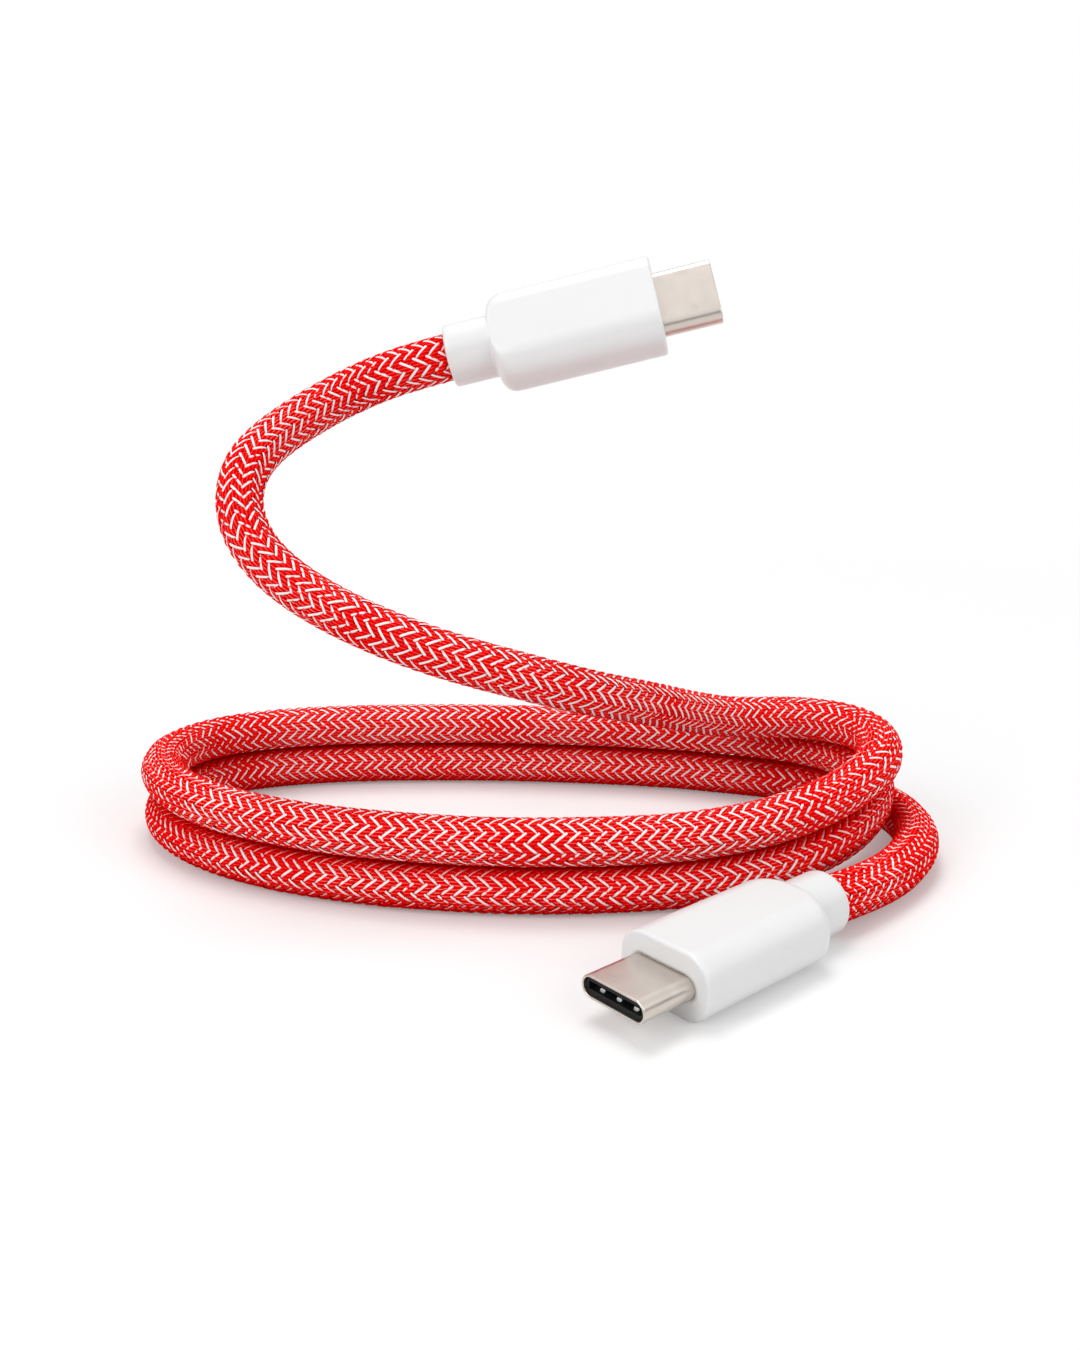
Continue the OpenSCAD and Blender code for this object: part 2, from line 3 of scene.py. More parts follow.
import bpy
import numpy as np
from mathutils import Euler, Matrix, Vector


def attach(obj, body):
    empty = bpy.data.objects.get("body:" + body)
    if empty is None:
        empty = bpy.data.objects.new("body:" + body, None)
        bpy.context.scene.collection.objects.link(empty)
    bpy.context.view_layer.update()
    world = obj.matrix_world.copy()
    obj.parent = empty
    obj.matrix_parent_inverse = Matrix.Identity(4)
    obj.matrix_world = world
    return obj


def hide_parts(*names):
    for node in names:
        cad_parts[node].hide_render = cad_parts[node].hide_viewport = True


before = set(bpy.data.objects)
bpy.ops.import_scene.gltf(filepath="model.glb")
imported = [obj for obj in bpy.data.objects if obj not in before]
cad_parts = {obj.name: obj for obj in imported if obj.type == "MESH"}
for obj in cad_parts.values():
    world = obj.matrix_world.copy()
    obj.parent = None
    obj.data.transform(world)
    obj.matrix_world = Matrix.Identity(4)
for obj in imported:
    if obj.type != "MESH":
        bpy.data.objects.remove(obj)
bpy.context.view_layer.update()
scene = bpy.context.scene
MM = 0.001

# Camera
# A short tele view from a little above the table, tipped down onto the coil. It takes in the
# whole coil, the raised plug above it and the lying plug in front.
CAMERA_PLACE = (-0.0176, -0.1156, 0.0635)
TIPPED_DOWN = 15.5
camera_data = bpy.data.cameras.new("camera")
camera_data.sensor_width = 36.0
camera_data.lens = 36.0 * 1300 / 1350       # a focal length of 1300 to a height of 1350
camera_data.clip_start = 0.005
camera = bpy.data.objects.new("camera", camera_data)
camera.location = CAMERA_PLACE
camera.rotation_euler = Euler((math.radians(90 - TIPPED_DOWN), 0, 0))
scene.collection.objects.link(camera)
scene.camera = camera

# Where the two plugs lie
# Plug a lies flat on the table. Plug b stands on the stiff cord, its tip lifted and its flat
# side turned half towards the front. A plug's own frame has its tip along +X and its width on Y.
A_AXIS_HEIGHT, A_FRONT_AHEAD, A_HEADING = 3.5, 8, 221
B_FRONT = (-4.2, 37.6, 64.5)
B_HEADING, B_LIFT, B_ROLL = -3.5, 13.5, 54
PLUG_FRAMES = {
    "a": Matrix.Translation(Vector((0, 0, A_AXIS_HEIGHT)) * MM)
    @ Matrix.Rotation(math.radians(A_HEADING), 4, "Z")
    @ Matrix.Translation(Vector((A_FRONT_AHEAD, 0, 0)) * MM),
    "b": Matrix.Translation(Vector(B_FRONT) * MM)
    @ Matrix.Rotation(math.radians(B_HEADING), 4, "Z")
    @ Matrix.Rotation(math.radians(-B_LIFT), 4, "Y")
    @ Matrix.Rotation(math.radians(B_ROLL), 4, "X"),
}
PLUG_LENGTH = 24.5
CORD_SEAT = 6.0     # length of cord held in each neck


def on_plug(name, x):
    """A point of the plug's axis, x millimetres ahead of its front face, in millimetres."""
    return np.array(PLUG_FRAMES[name] @ Vector((x * MM, 0, 0))) / MM


# Cord route
# From plug a the cord runs round the right end, winds two turns of an oval coil, one on the
# other, leaves the upper turn at the right end and rises to the left and back to plug b.
CORD_DIAMETER = 5.5
ROUTE_STEP = 0.344
SPRING_REACH = 3.0      # length over which the cord's stiffness evens out a bend
COIL_START, COIL_END = 62, 690
COIL_MIDDLE = (-21, 38.5)
COIL_HALF_LENGTH, COIL_END_FULLNESS = 46.2, 1.2
COIL_HALF_WIDTH, COIL_BOW = 21, 2
COIL_TURNED = -4
CLIMB_STARTS, CLIMB_SPAN, CLIMB = (290, 650), 95, 5.6
TAIL_ROUTE = [(17, 14.5, 3), (22.5, 20, 2.75), (26.8, 26.8, 2.75), (28.3, 34.5, 2.75),
              (26, 42.5, 2.75), (20, 48.5, 2.75)]
RISE_ROUTE = [(23.4, 31.3, 12.4), (23.2, 39, 13.5), (16.4, 45.4, 13.2), (8.5, 45.6, 13),
              (1.6, 41.4, 15.1), (-5.5, 33.9, 18.7), (-12.4, 27.8, 21.7), (-20.5, 24, 24.9),
              (-29.2, 23, 27.7), (-38.1, 24, 31), (-46.4, 26.6, 35.4), (-51, 29.3, 40.1),
              (-51.9, 33.7, 45.6), (-49, 39.8, 49.6), (-41.5, 42.4, 54.1), (-33.5, 38.9, 57.3)]
CURVE_PARTS = 40


def eased(value, start, span):
    """0 up to start, 1 from a span after it, and a smooth change between."""
    t = np.clip((value - start) / span, 0, 1)
    return t * t * (3 - 2 * t)


def coil_points(degrees):
    """Centreline of the coil: a flattened oval whose second turn lies on the first."""
    a = np.radians(degrees)
    x = COIL_HALF_LENGTH * np.cos(a) - COIL_END_FULLNESS * np.cos(3 * a)
    y = COIL_HALF_WIDTH * np.sin(a) + COIL_BOW * np.cos(2 * a)
    turn = math.radians(COIL_TURNED)
    climb = sum(eased(degrees, start, CLIMB_SPAN) for start in CLIMB_STARTS)
    return np.stack([COIL_MIDDLE[0] + x * math.cos(turn) - y * math.sin(turn),
                     COIL_MIDDLE[1] + x * math.sin(turn) + y * math.cos(turn),
                     CORD_DIAMETER / 2 + CLIMB * climb], axis=1)


def curve_through(points):
    """Catmull-Rom curve through the points."""
    p = np.array(points, float)
    p = np.vstack([2 * p[0] - p[1], p, 2 * p[-1] - p[-2]])
    t = np.linspace(0, 1, CURVE_PARTS, endpoint=False)[:, None]
    runs = [0.5 * (2 * b + (c - a) * t + (2 * a - 5 * b + 4 * c - d) * t ** 2
                   + (3 * b - a - 3 * c + d) * t ** 3)
            for a, b, c, d in zip(p, p[1:], p[2:], p[3:])]
    return np.vstack(runs + [p[-2:-1]])


def evenly(points):
    """The same line with points at an even distance close to the route's step."""
    along = np.concatenate([[0], np.cumsum(np.linalg.norm(np.diff(points, axis=0), axis=1))])
    at = np.linspace(0, along[-1], int(round(along[-1] / ROUTE_STEP)) + 1)
    return np.stack([np.interp(at, along, points[:, i]) for i in range(3)], axis=1)


def softened(points):
    """The line as a springy cord would take it, without sudden changes of bend."""
    n = int(4 * SPRING_REACH / ROUTE_STEP)
    weights = np.exp(-0.5 * (np.arange(-n, n + 1) * ROUTE_STEP / SPRING_REACH) ** 2)
    weights /= weights.sum()
    head = points[0] + (points[0] - points[1]) * np.arange(n, 0, -1)[:, None]
    tail = points[-1] + (points[-1] - points[-2]) * np.arange(1, n + 1)[:, None]
    p = np.vstack([head, points, tail])
    return np.stack([np.convolve(p[:, i], weights, "valid") for i in range(3)], axis=1)


coil = coil_points(np.arange(COIL_START, COIL_END + 0.1, 2.0))
a_seat, a_neck = on_plug("a", -PLUG_LENGTH + CORD_SEAT), on_plug("a", -PLUG_LENGTH)
b_seat, b_neck = on_plug("b", -PLUG_LENGTH + CORD_SEAT), on_plug("b", -PLUG_LENGTH)
tail = curve_through([a_seat, a_neck] + TAIL_ROUTE + [coil[0], coil[3]])[:-CURVE_PARTS - 1]
rise = curve_through([coil[-4], coil[-1]] + RISE_ROUTE + [b_neck, b_seat])[CURVE_PARTS + 1:]
route = evenly(softened(evenly(np.vstack([tail, coil, rise]))))
route[:, 2] = np.maximum(route[:, 2], CORD_DIAMETER / 2 + 0.01)


# Inner jacket of the cord
# The extruded jacket that the sleeve is braided onto. It shows only in the gaps between the
# yarns, as a dark red that is partly its own red and partly painted shade, and its ends are held
# in the two necks.
def carried_frames(points):
    """Two directions square to the line at each point, carried along without a twist."""
    ahead = np.gradient(points, axis=0)
    ahead /= np.linalg.norm(ahead, axis=1)[:, None]
    side = np.zeros_like(points)
    s = np.cross(ahead[0], (0, 0, 1))
    for i, t in enumerate(ahead):
        s = s - np.dot(s, t) * t
        s /= np.linalg.norm(s)
        side[i] = s
    return side, np.cross(side, ahead)


def strip_faces(rows, columns, wrap=False):
    """Quads of a grid of points, row after row; wrap joins the last column to the first."""
    r = np.arange(rows - 1)[:, None]
    c = np.arange(columns if wrap else columns - 1)[None]
    a = r * columns + c
    b = r * columns + (c + 1) % columns
    return np.stack([a, a + columns, b + columns, b], axis=-1).reshape(-1, 4)


def mesh_piece(name, points, faces, material):
    """A new piece from points in millimetres and quads, riding on the part's one body."""
    mesh = bpy.data.meshes.new(name)
    mesh.vertices.add(len(points))
    mesh.vertices.foreach_set("co", (np.asarray(points, np.float32) * MM).ravel())
    mesh.loops.add(faces.size)
    mesh.loops.foreach_set("vertex_index", faces.astype(np.int32).ravel())
    mesh.polygons.add(len(faces))
    mesh.polygons.foreach_set("loop_start", np.arange(0, faces.size, 4, dtype=np.int32))
    mesh.polygons.foreach_set("use_smooth", np.full(len(faces), True))
    mesh.update(calc_edges=True)
    mesh.validate()
    mesh.materials.append(material)
    piece = bpy.data.objects.new(name, mesh)
    scene.collection.objects.link(piece)
    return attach(piece, "root")


def new_material(name, **sockets):
    """A Principled material with plain values on its sockets, its node tree and its shader."""
    material = bpy.data.materials.new(name)
    material.use_nodes = True
    shader = material.node_tree.nodes["Principled BSDF"]
    for socket, value in sockets.items():
        shader.inputs[socket.replace("_", " ")].default_value = value
    return material, material.node_tree, shader


def add_node(tree, kind, inputs=None, **settings):
    """A node with its settings. Each input takes a value or another node's output."""
    node = tree.nodes.new(kind)
    for key, value in settings.items():
        setattr(node, key, value)
    for key, value in (inputs or {}).items():
        if isinstance(value, bpy.types.NodeSocket):
            tree.links.new(value, node.inputs[key])
        else:
            node.inputs[key].default_value = value
    return node


def object_noise(tree, scale, detail):
    """Noise that keeps its place on the object."""
    place = add_node(tree, "ShaderNodeTexCoord").outputs["Object"]
    return add_node(tree, "ShaderNodeTexNoise", {"Vector": place, "Scale": scale,
                                                 "Detail": detail}).outputs["Fac"]


def two_tone(tree, value, dark, light, start=0.0, end=1.0):
    """A colour that goes from dark to light while the value goes from start to end."""
    ramp = add_node(tree, "ShaderNodeValToRGB", {"Fac": value})
    for stop, position, colour in zip(ramp.color_ramp.elements, (start, end), (dark, light)):
        stop.position = position
        stop.color = (*colour, 1)
    return ramp.outputs["Color"]


JACKET_SIDES = 24
JACKET_RADIUS = 2.22
# A red darkened far below the braid's red: painted shade for the gaps between the yarns.
JACKET_DARK, JACKET_LIGHT = (0.14, 0.003, 0.004), (0.26, 0.006, 0.007)
side, up = carried_frames(route)
angle = np.linspace(0, 2 * math.pi, JACKET_SIDES, endpoint=False)
jacket_points = (route[::3, None] + JACKET_RADIUS
                 * (np.cos(angle)[None, :, None] * side[::3, None]
                    + np.sin(angle)[None, :, None] * up[::3, None])).reshape(-1, 3)
jacket_red, tree, shader = new_material("jacket_red", Roughness=0.6)
tree.links.new(two_tone(tree, object_noise(tree, 900.0, 4.0), JACKET_DARK, JACKET_LIGHT),
               shader.inputs["Base Color"])
jacket = mesh_piece("cord_jacket", jacket_points,
                    strip_faces(len(route[::3]), JACKET_SIDES, wrap=True), jacket_red)
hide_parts("cord_tail", "cord_coil", "cord_rise")

# Braided sleeve
# Fourteen carriers run round the cord each way, two over and two under. Each lays a fat red
# yarn and beside it a thin white one, which also peeps out between the red ones above it.
# A profile gives points across a yarn: how far to its side, and how high.
CARRIERS = 14
LAY = 19.6              # length of cord in which a carrier goes once round
BED_RADIUS = 2.55       # middle of the sleeve
WEAVE_DEPTH = 0.11      # how far a yarn goes over and under that middle
BEADS = 6               # humps of a yarn in one cycle of two over and two under
RED_PROFILE = [(-0.46, -0.2), (-0.28, -0.03), (0, 0.02), (0.28, -0.03), (0.46, -0.2)]
RED_LEVELS = {"middle": 0.03, "bead": 0.03, "uneven": 0, "at_ends": 0}
WHITE_PROFILE = [(0.41, -0.06), (0.585, 0.01), (0.76, -0.06)]
WHITE_LEVELS = {"middle": 0, "bead": 0, "uneven": 0.035, "at_ends": 0.06}
DRIFT, DRIFT_LENGTHS = 0.03, (2.3, 5.1, 11.7)
SINK_LENGTHS = (3.1, 7.9)
TIGHT_FROM, TIGHT_SPAN = 26, 16         # how far from the coil's middle its ends begin
TIGHT_BELOW, TIGHT_FADE = 22, 6         # height up to which the cord counts as coiled


def yarn_family(name, profile, levels, direction, material):
    """All yarns of one colour that wind one way, as one piece of open arched strips."""
    rng = np.random.RandomState(7 if direction > 0 else 11)
    along = np.arange(len(route)) * ROUTE_STEP
    # The sleeve closes over the whites at the coil's two tight ends.
    at_ends = (eased(np.abs(route[:, 0] - COIL_MIDDLE[0]), TIGHT_FROM, TIGHT_SPAN)
               * eased(route[:, 2], TIGHT_BELOW, -TIGHT_FADE))
    points, faces, uvs = [], [], []
    for k in range(CARRIERS):
        met = direction * 2 * CARRIERS * along / LAY      # carriers of the other way met
        cycle = (2 * k + met) / 4 - 0.125                 # one cycle is two over and two under
        # Level while it lies over or under, steep where it dives between the two.
        weave = np.clip(direction * np.cos(2 * math.pi * cycle) * 1.5, -1, 1)
        weave = weave * (1.5 - 0.5 * weave ** 2)
        drift = sum(DRIFT * np.sin(along / w + p)
                    for w, p in zip(DRIFT_LENGTHS, rng.uniform(0, 6.3, 3)))
        sunk = sum(np.sin(along / w + p) for w, p in zip(SINK_LENGTHS, rng.uniform(0, 6.3, 2)))
        middle = direction * 2 * math.pi * along / LAY + 2 * math.pi * k / CARRIERS
        base = (BED_RADIUS + levels["middle"] + WEAVE_DEPTH * weave + levels["uneven"] * sunk
                - levels["at_ends"] * at_ends)
        rows, beads = [], []
        for offset, height in profile:
            beads.append(cycle + offset * CARRIERS / (4 * math.pi * BED_RADIUS))
            a = middle + (offset + drift) / BED_RADIUS
            r = base + height + levels["bead"] * np.cos(2 * BEADS * math.pi * beads[-1])
            rows.append(route + r[:, None] * (np.cos(a)[:, None] * side
                                              + np.sin(a)[:, None] * up))
        strip = np.stack(rows, axis=1).reshape(-1, 3)
        faces.append(strip_faces(len(route), len(profile)) + k * len(strip))
        points.append(strip)
        uvs.append(np.stack([np.stack(beads, axis=1).ravel(),
                             np.tile(np.linspace(0, 1, len(profile)), len(route))], axis=1))
    faces = np.vstack(faces)
    piece = mesh_piece(name, np.vstack(points), faces, material)
    layer = piece.data.uv_layers.new(name="yarn")
    layer.data.foreach_set("uv", np.vstack(uvs)[faces.ravel()].astype(np.float32).ravel())
    return piece


def maths(tree, operation, *terms):
    """The outcome of a Math node on numbers and other nodes' outputs."""
    return add_node(tree, "ShaderNodeMath", dict(enumerate(terms)),
                    operation=operation).outputs[0]


def ranged(tree, value, start, end, low=0.0, high=1.0, **settings):
    """Goes from low to high while the value goes from start to end."""
    return add_node(tree, "ShaderNodeMapRange",
                    {"Value": value, "From Min": start, "From Max": end, "To Min": low,
                     "To Max": high}, **settings).outputs["Result"]


def blended(tree, share, first, second):
    """The first colour turning into the second; either may be another node's output."""
    first, second = ((*c, 1) if isinstance(c, tuple) else c for c in (first, second))
    return add_node(tree, "ShaderNodeMix", {"Factor": share, "A": first, "B": second},
                    data_type="RGBA").outputs["Result"]


def add_bump(tree, shader, height, strength, distance):
    """Fine relief on the shader; distance is its full height in metres."""
    bump = add_node(tree, "ShaderNodeBump", {"Height": height, "Strength": strength,
                                             "Distance": distance})
    tree.links.new(bump.outputs["Normal"], shader.inputs["Normal"])


def yarn_material(name, dark, light, painted_edge_shade, pinch, pinch_share, painted_deep_shade):
    """Plied filament yarn: fine strands along it, painted shade on its edges, a paler pinch
    between its beads, and painted shade where it lies deep between other yarns."""
    material, tree, shader = new_material(name, Roughness=0.6, Specular_IOR_Level=0.0)
    on_yarn = add_node(tree, "ShaderNodeUVMap", uv_map="yarn").outputs["UV"]
    turned = add_node(tree, "ShaderNodeMapping", {"Vector": on_yarn, "Scale": (3.4, 7.0, 1.0)})
    strands = add_node(tree, "ShaderNodeTexNoise", {"Vector": turned.outputs["Vector"],
                                                    "Scale": 1.6, "Detail": 3.0}).outputs["Fac"]
    shade = two_tone(tree, strands, dark, light, 0.3, 0.7)
    split = add_node(tree, "ShaderNodeSeparateXYZ", {0: on_yarn}).outputs
    wave = maths(tree, "COSINE", maths(tree, "MULTIPLY", split["X"], 2 * BEADS * math.pi))
    patchy = ranged(tree, object_noise(tree, 110.0, 1.0), 0.35, 0.65,
                    0.2 * pinch_share, pinch_share)
    pinched = maths(tree, "MULTIPLY", ranged(tree, wave, -0.75, -1.0), patchy)
    from_middle = maths(tree, "ABSOLUTE", maths(tree, "SUBTRACT", split["Y"], 0.5))
    # Painted shade: towards both edges, where the yarn dips beside others, its colour turns to
    # the darker edge colour.
    edge_shade_share = ranged(tree, from_middle, 0.3, 0.5, 0.0, 0.8)
    seen = blended(tree, edge_shade_share, blended(tree, pinched, shade, pinch), painted_edge_shade)
    # Painted shade: where little is open around the yarn, its colour turns to the deep colour, a
    # darker red on the red yarn and red on the white one.
    open_to = add_node(tree, "ShaderNodeAmbientOcclusion", {"Distance": 0.004}, samples=6)
    unshaded_share = ranged(tree, open_to.outputs["AO"], 0.4, 0.8)
    tree.links.new(blended(tree, unshaded_share, painted_deep_shade, seen), shader.inputs["Base Color"])
    add_bump(tree, shader, strands, 0.25, 0.00004)
    return material


# The red yarn's dark edge colour and its deep colour are painted shade.
red_yarn = yarn_material("red_yarn", dark=(0.72, 0.0, 0.0), light=(0.99, 0.001, 0.001),
                         painted_edge_shade=(0.25, 0.0, 0.0), pinch=(0.98, 0.55, 0.53),
                         pinch_share=0.5, painted_deep_shade=(0.6, 0.0, 0.0))
# The white yarn's pink edge colour and its red deep colour are painted shade, tinted by light
# bounced off the red yarns.
white_yarn = yarn_material("white_yarn", dark=(0.95, 0.8, 0.79), light=(1.0, 0.96, 0.95),
                           painted_edge_shade=(0.97, 0.72, 0.7), pinch=(0.98, 0.9, 0.89),
                           pinch_share=0.3, painted_deep_shade=(0.8, 0.02, 0.015))
yarns = [yarn_family("braid_red_right", RED_PROFILE, RED_LEVELS, 1, red_yarn),
         yarn_family("braid_red_left", RED_PROFILE, RED_LEVELS, -1, red_yarn),
         yarn_family("braid_white_right", WHITE_PROFILE, WHITE_LEVELS, 1, white_yarn),
         yarn_family("braid_white_left", WHITE_PROFILE, WHITE_LEVELS, -1, white_yarn)]

# Plug housings
# Glossy-satin white mouldings: a flat body with soft long corners, a steep shoulder and a
# short round neck that grips the cord. The metal shell comes out of an opening in the front.
HOUSING_W, HOUSING_H, HOUSING_CORNER = 11.6, 7.0, 3.0
BODY_END, SHOULDER_END = -17.2, -19.6
FRONT_ROUND, NECK_ROUND, SHOULDER_FILLET = 0.4, 0.35, 0.4
SHOULDER_STEPS, FILLET_STEPS = 12, 6
HOLLOW_W, HOLLOW_H, HOLLOW_CORNER = 10.0, 5.4, 2.2
HOLLOW_FRONT, HOLLOW_BACK = -1.2, -16
BODY_STATIONS, NECK_STATIONS = (-1.2, -5, -11, -16, BODY_END), (-20.4, -23.6)
SHELL_W, SHELL_H = 8.25, 2.4
SLIP = 0.02             # play of the shell in its opening
CORNER_STEPS = 12
SHORT_FLAT = 0.02       # least straight stretch between two corners
MOULDING_DARK, MOULDING_LIGHT = (0.76, 0.76, 0.76), (0.79, 0.79, 0.79)


def rounded_outline(x, width, height, radius):
    """Points of a rounded rectangle across the plug at station x."""
    radius = min(radius, width / 2 - SHORT_FLAT, height / 2 - SHORT_FLAT)
    points = []
    for q, (sy, sz) in enumerate(((1, 1), (-1, 1), (-1, -1), (1, -1))):
        for i in range(CORNER_STEPS + 1):
            a = math.radians(90 * q + 90 * i / CORNER_STEPS)
            points.append((x, sy * (width / 2 - radius) + radius * math.cos(a),
                           sz * (height / 2 - radius) + radius * math.sin(a)))
    return points


def plug_piece(name, plug, rings, material):
    """A closed piece lofted over rings that all have the same number of points."""
    turn = PLUG_FRAMES[plug]
    points = [turn @ (Vector(p) * MM) / MM for ring in rings for p in ring]
    n = len(rings[0])
    last = (len(rings) - 1) * n
    c = np.arange(n)
    closing = np.stack([last + c, c, (c + 1) % n, last + (c + 1) % n], axis=1)
    faces = np.vstack([strip_faces(len(rings), n, wrap=True), closing])
    piece = mesh_piece(name, np.array(points), faces, material)
    even = piece.modifiers.new("even_normals", "WEIGHTED_NORMAL")
    even.weight = 80
    return piece


def quarter(steps, first=0):
    """Angles of a quarter turn in even steps."""
    return [math.radians(90 * i / steps) for i in range(first, steps + 1)]


def shoulder_ring(x, s):
    """Between the flat body, s = 0, and the round neck, s = 1."""
    return rounded_outline(x, HOUSING_W + (HOUSING_H - HOUSING_W) * s, HOUSING_H,
                           HOUSING_CORNER + (HOUSING_H / 2 - HOUSING_CORNER) * s)


def housing_rings():
    """Rings from the front opening over the outside to the neck, and back through the hollow."""
    rings = [rounded_outline(0, SHELL_W + SLIP, SHELL_H + SLIP, SHELL_H / 2),
             rounded_outline(0, SHELL_W + 0.8, SHELL_H + 0.8, SHELL_H / 2 + 0.4)]
    for a in quarter(5):
        inset = FRONT_ROUND * (1 - math.sin(a))
        rings.append(rounded_outline(-FRONT_ROUND * (1 - math.cos(a)), HOUSING_W - 2 * inset,
                                     HOUSING_H - 2 * inset, HOUSING_CORNER - inset))
    for x in BODY_STATIONS:
        rings.append(rounded_outline(x, HOUSING_W, HOUSING_H, HOUSING_CORNER))
    share = 1 - 2 * SHOULDER_FILLET / (HOUSING_W - HOUSING_H)
    for a in quarter(SHOULDER_STEPS, first=1):
        x = BODY_END - (BODY_END - SHOULDER_END - SHOULDER_FILLET) * math.sin(a)
        rings.append(shoulder_ring(x, share * (1 - math.cos(a))))
    for a in quarter(FILLET_STEPS, first=1):
        x = SHOULDER_END + SHOULDER_FILLET * math.cos(a)
        rings.append(shoulder_ring(x, share + (1 - share) * math.sin(a)))
    for x in NECK_STATIONS:
        rings.append(rounded_outline(x, HOUSING_H, HOUSING_H, HOUSING_H / 2))
    for a in quarter(4):
        inset = NECK_ROUND * (1 - math.cos(a))
        rings.append(rounded_outline(-PLUG_LENGTH + NECK_ROUND * (1 - math.sin(a)),
                                     HOUSING_H - 2 * inset, HOUSING_H - 2 * inset,
                                     HOUSING_H / 2 - inset))
    for x, bore in ((-PLUG_LENGTH, CORD_DIAMETER + 0.16),
                    (-PLUG_LENGTH + 0.3, CORD_DIAMETER + 0.06),
                    (HOLLOW_BACK, CORD_DIAMETER)):
        rings.append(rounded_outline(x, bore, bore, bore / 2))
    for x in (HOLLOW_BACK + 0.01, HOLLOW_FRONT - 0.01):
        rings.append(rounded_outline(x, HOLLOW_W, HOLLOW_H, HOLLOW_CORNER))
    rings.append(rounded_outline(HOLLOW_FRONT, SHELL_W + SLIP, SHELL_H + SLIP, SHELL_H / 2))
    return rings


white_moulding, tree, shader = new_material(
    "white_moulding", Roughness=0.34, Coat_Weight=0.15, Coat_Roughness=0.22)
tree.links.new(two_tone(tree, object_noise(tree, 90.0, 3.0), MOULDING_DARK, MOULDING_LIGHT),
               shader.inputs["Base Color"])
skin = object_noise(tree, 5200.0, 2.0)
tree.links.new(ranged(tree, skin, 0.0, 1.0, 0.3, 0.4), shader.inputs["Roughness"])
add_bump(tree, shader, skin, 0.12, 0.00002)
for plug in "ab":
    housing = plug_piece(f"{plug}_housing_moulding", plug, housing_rings(), white_moulding)
    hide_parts(f"{plug}_housing")

# Plug shells
# Seamless flat ovals of drawn steel with a warm satin nickel plating, rounded at the mouth.
# Each runs a little way back into the housing, whose front opening grips it.
SHELL_REACH, SHELL_GRIP, SHELL_WALL = 6.65, 3.9, 0.25
LIP_STEPS = 8
NICKEL_DARK, NICKEL_LIGHT = (0.59, 0.53, 0.48), (0.65, 0.59, 0.54)


def shell_rings():
    """Rings from the end of the inside wall, round the mouth's lip, to the end of the outside."""
    rings = [rounded_outline(-SHELL_GRIP, SHELL_W, SHELL_H, SHELL_H / 2),
             rounded_outline(0.2, SHELL_W, SHELL_H, SHELL_H / 2)]
    for i in range(LIP_STEPS + 1):
        a = math.radians(180 * i / LIP_STEPS)
        inset = SHELL_WALL / 2 * (1 - math.cos(a))
        x = SHELL_REACH - SHELL_WALL / 2 * (1 - math.sin(a))
        rings.append(rounded_outline(x, SHELL_W - 2 * inset, SHELL_H - 2 * inset,
                                     SHELL_H / 2 - inset))
    rings.append(rounded_outline(-SHELL_GRIP, SHELL_W - 2 * SHELL_WALL, SHELL_H - 2 * SHELL_WALL,
                                 SHELL_H / 2 - SHELL_WALL))
    return rings[::-1]


nickel, tree, shader = new_material("satin_nickel", Metallic=1.0, Roughness=0.3)
wear = object_noise(tree, 700.0, 5.0)
tree.links.new(two_tone(tree, wear, NICKEL_DARK, NICKEL_LIGHT), shader.inputs["Base Color"])
tree.links.new(ranged(tree, wear, 0.0, 1.0, 0.24, 0.36), shader.inputs["Roughness"])
for plug in "ab":
    shell = plug_piece(f"{plug}_shell_drawn", plug, shell_rings(), nickel)
    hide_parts(f"{plug}_shell")

# Contact blocks, contacts and the small parts inside the plugs
# Black moulded blocks carry gold-plated contacts; steel latch and ground springs are pressed
# in. The card, its parts and the wires behind them are closed in by the can and the mould.


def speckled(name, dark, light, scale, **sockets):
    """A material with a fine change of shade between two colours."""
    material, tree, shader = new_material(name, **sockets)
    specks = object_noise(tree, scale, 4.0)
    tree.links.new(two_tone(tree, specks, dark, light), shader.inputs["Base Color"])
    add_bump(tree, shader, specks, 0.15, 0.00002)
    return material


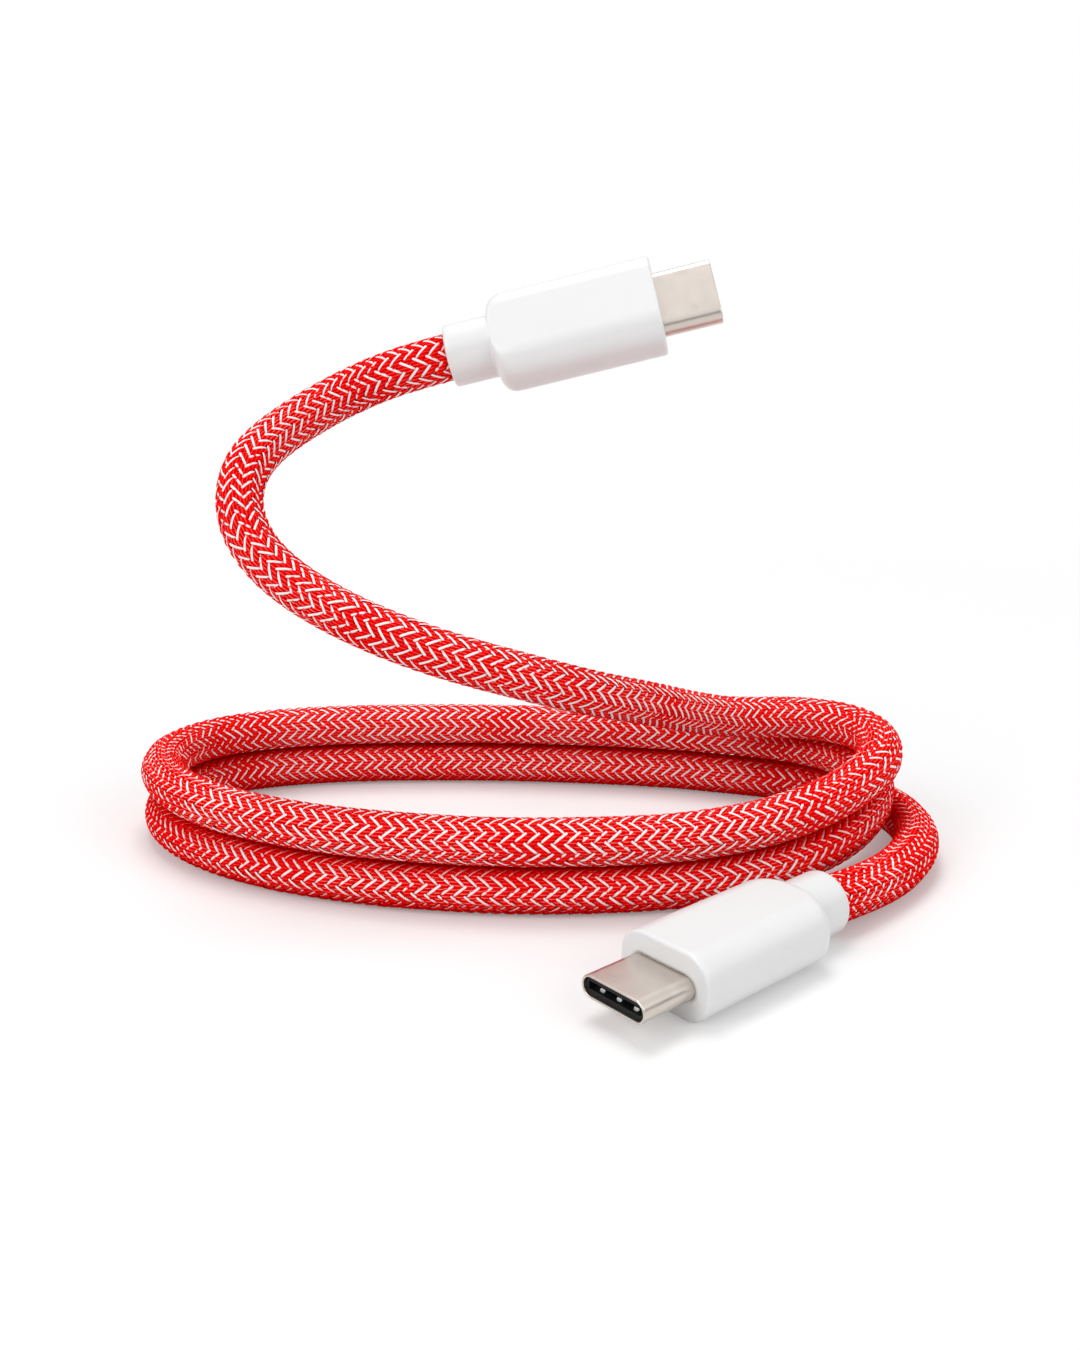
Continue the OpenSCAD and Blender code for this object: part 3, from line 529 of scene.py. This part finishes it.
INNER_FINISHES = {
    ("contact_block", "marker_chip"): speckled(
        "black_moulding", (0.006, 0.006, 0.006), (0.014, 0.014, 0.014), 3000, Roughness=0.45,
        Specular_IOR_Level=0.15),
    ("contacts_upper", "contacts_lower"): speckled(
        "gold_plating", (0.75, 0.52, 0.22), (0.85, 0.62, 0.3), 2500, Metallic=1.0,
        Roughness=0.25),
    ("latch", "ground_spring_upper", "ground_spring_lower"): speckled(
        "spring_steel", (0.86, 0.86, 0.85), (0.93, 0.93, 0.92), 2500, Metallic=1.0,
        Roughness=0.5),
    ("circuit_card",): speckled(
        "solder_mask", (0.01, 0.09, 0.04), (0.015, 0.12, 0.05), 1500, Roughness=0.35),
    ("capacitors",): speckled(
        "ceramic", (0.4, 0.28, 0.17), (0.5, 0.36, 0.22), 2500, Roughness=0.5),
    ("solder_joints",): speckled(
        "solder", (0.6, 0.6, 0.6), (0.7, 0.7, 0.7), 2000, Metallic=1.0, Roughness=0.35),
    ("shield_can",): speckled(
        "tinned_sheet", (0.6, 0.6, 0.61), (0.7, 0.7, 0.71), 1200, Metallic=1.0, Roughness=0.4),
    ("inner_mould",): speckled(
        "inner_resin", (0.7, 0.71, 0.66), (0.76, 0.77, 0.72), 800, Roughness=0.45),
    ("crimp_ring",): speckled(
        "brass", (0.62, 0.42, 0.16), (0.7, 0.5, 0.22), 1500, Metallic=1.0, Roughness=0.35),
    ("inner_jacket",): jacket_red,
    ("wire_power",): speckled(
        "insulation_red", (0.5, 0.01, 0.01), (0.6, 0.015, 0.015), 2000, Roughness=0.4),
    ("wire_ground",): speckled(
        "insulation_black", (0.01, 0.01, 0.01), (0.02, 0.02, 0.02), 2000, Roughness=0.4),
    ("wire_config",): speckled(
        "insulation_blue", (0.01, 0.07, 0.4), (0.015, 0.1, 0.5), 2000, Roughness=0.4),
    ("wire_data_plus",): speckled(
        "insulation_green", (0.01, 0.25, 0.04), (0.015, 0.32, 0.06), 2000, Roughness=0.4),
    ("wire_data_minus",): speckled(
        "insulation_white", (0.75, 0.75, 0.73), (0.82, 0.82, 0.8), 2000, Roughness=0.4),
}
for names, finish in INNER_FINISHES.items():
    for plug in "ab":
        for name in names:
            for slot in bpy.data.objects[f"{plug}_{name}"].material_slots:
                slot.material = finish

# Table and studio light
# A white table top that runs on into a white background, a soft lamp on each side in front,
# a smaller one above and behind, and an even sky. Metal mirrors the sky darker low down.
TABLE_HALF = 3
TABLE_TONE = 0.72
TABLE_GLOW = 0.2                # evens out the table where it is seen directly
TABLE_FADE = (0.14, 0.3)        # metres from the middle over which it turns plain white
SKY_LEVEL = 0.46
MIRRORED_SKY = ((0.0, 1.0), (0.06, 0.2), (0.26, 0.2), (0.4, 1.0))   # height and brightness
LAMPS_AIM_AT = (-0.015, 0.03, 0.02)
LAMPS = (("left", (-0.7, -0.5, 0.55), 0.6, 4.15),                   # place, size and power
         ("right", (0.7, -0.5, 0.5), 0.6, 3.0),
         ("top", (-0.08, 0.27, 0.93), 0.45, 3.9))


def seen_directly(tree):
    """1 for rays that look at the background itself: from the camera, a gloss or a clear part."""
    ray = add_node(tree, "ShaderNodeLightPath").outputs
    return maths(tree, "MAXIMUM", maths(tree, "MAXIMUM", ray["Is Camera Ray"],
                                        ray["Is Glossy Ray"]), ray["Is Transmission Ray"])


table_mesh = bpy.data.meshes.new("table")
table_mesh.from_pydata([(x * TABLE_HALF, y * TABLE_HALF, 0)
                        for x, y in ((-1, -1), (1, -1), (1, 1), (-1, 1))], [], [(0, 1, 2, 3)])
table = bpy.data.objects.new("table", table_mesh)
scene.collection.objects.link(table)
table_white, tree, shader = new_material("table_white", Roughness=0.6, Specular_IOR_Level=0.1)
shader.inputs["Base Color"].default_value = (TABLE_TONE, TABLE_TONE, TABLE_TONE, 1)
place = add_node(tree, "ShaderNodeTexCoord").outputs["Object"]
away = add_node(tree, "ShaderNodeVectorMath", {0: place}, operation="LENGTH").outputs["Value"]
fade = ranged(tree, away, *TABLE_FADE, interpolation_type="SMOOTHSTEP")
glow = add_node(tree, "ShaderNodeEmission", {"Strength": TABLE_GLOW}).outputs[0]
near = add_node(tree, "ShaderNodeAddShader", {0: shader.outputs[0], 1: glow}).outputs[0]
far = add_node(tree, "ShaderNodeEmission", {"Strength": 1.0}).outputs[0]
seen = add_node(tree, "ShaderNodeMixShader", {0: fade, 1: near, 2: far}).outputs[0]
lit = add_node(tree, "ShaderNodeMixShader", {0: seen_directly(tree), 1: shader.outputs[0],
                                             2: seen}).outputs[0]
tree.links.new(lit, tree.nodes["Material Output"].inputs["Surface"])
table_mesh.materials.append(table_white)

world = bpy.data.worlds.new("studio")
scene.world = world
world.use_nodes = True
tree = world.node_tree
sky = tree.nodes["Background"]
sky.inputs["Color"].default_value = (1, 1, 1, 1)
level = ranged(tree, seen_directly(tree), 0.0, 1.0, SKY_LEVEL, 1.0)
towards = add_node(tree, "ShaderNodeTexCoord").outputs["Generated"]
height = add_node(tree, "ShaderNodeSeparateXYZ", {0: towards}).outputs["Z"]
band = add_node(tree, "ShaderNodeValToRGB", {"Fac": height})
for i, (z, tone) in enumerate(MIRRORED_SKY):
    stop = band.color_ramp.elements[i] if i < 2 else band.color_ramp.elements.new(z)
    stop.position = z
    stop.color = (tone, tone, tone, 1)
glossy = add_node(tree, "ShaderNodeLightPath").outputs["Is Glossy Ray"]
mirrored = add_node(tree, "ShaderNodeMix", {"Factor": glossy, "A": 1.0,
                                            "B": band.outputs["Color"]}).outputs["Result"]
tree.links.new(maths(tree, "MULTIPLY", level, mirrored), sky.inputs["Strength"])

for name, place, size, power in LAMPS:
    lamp = bpy.data.lights.new(name, "AREA")
    lamp.size = size
    lamp.energy = power
    rig = bpy.data.objects.new(name, lamp)
    rig.location = place
    aim = Vector(LAMPS_AIM_AT) - Vector(place)
    rig.rotation_euler = aim.to_track_quat("-Z", "Y").to_euler()
    scene.collection.objects.link(rig)
scene.view_settings.view_transform = "Standard"
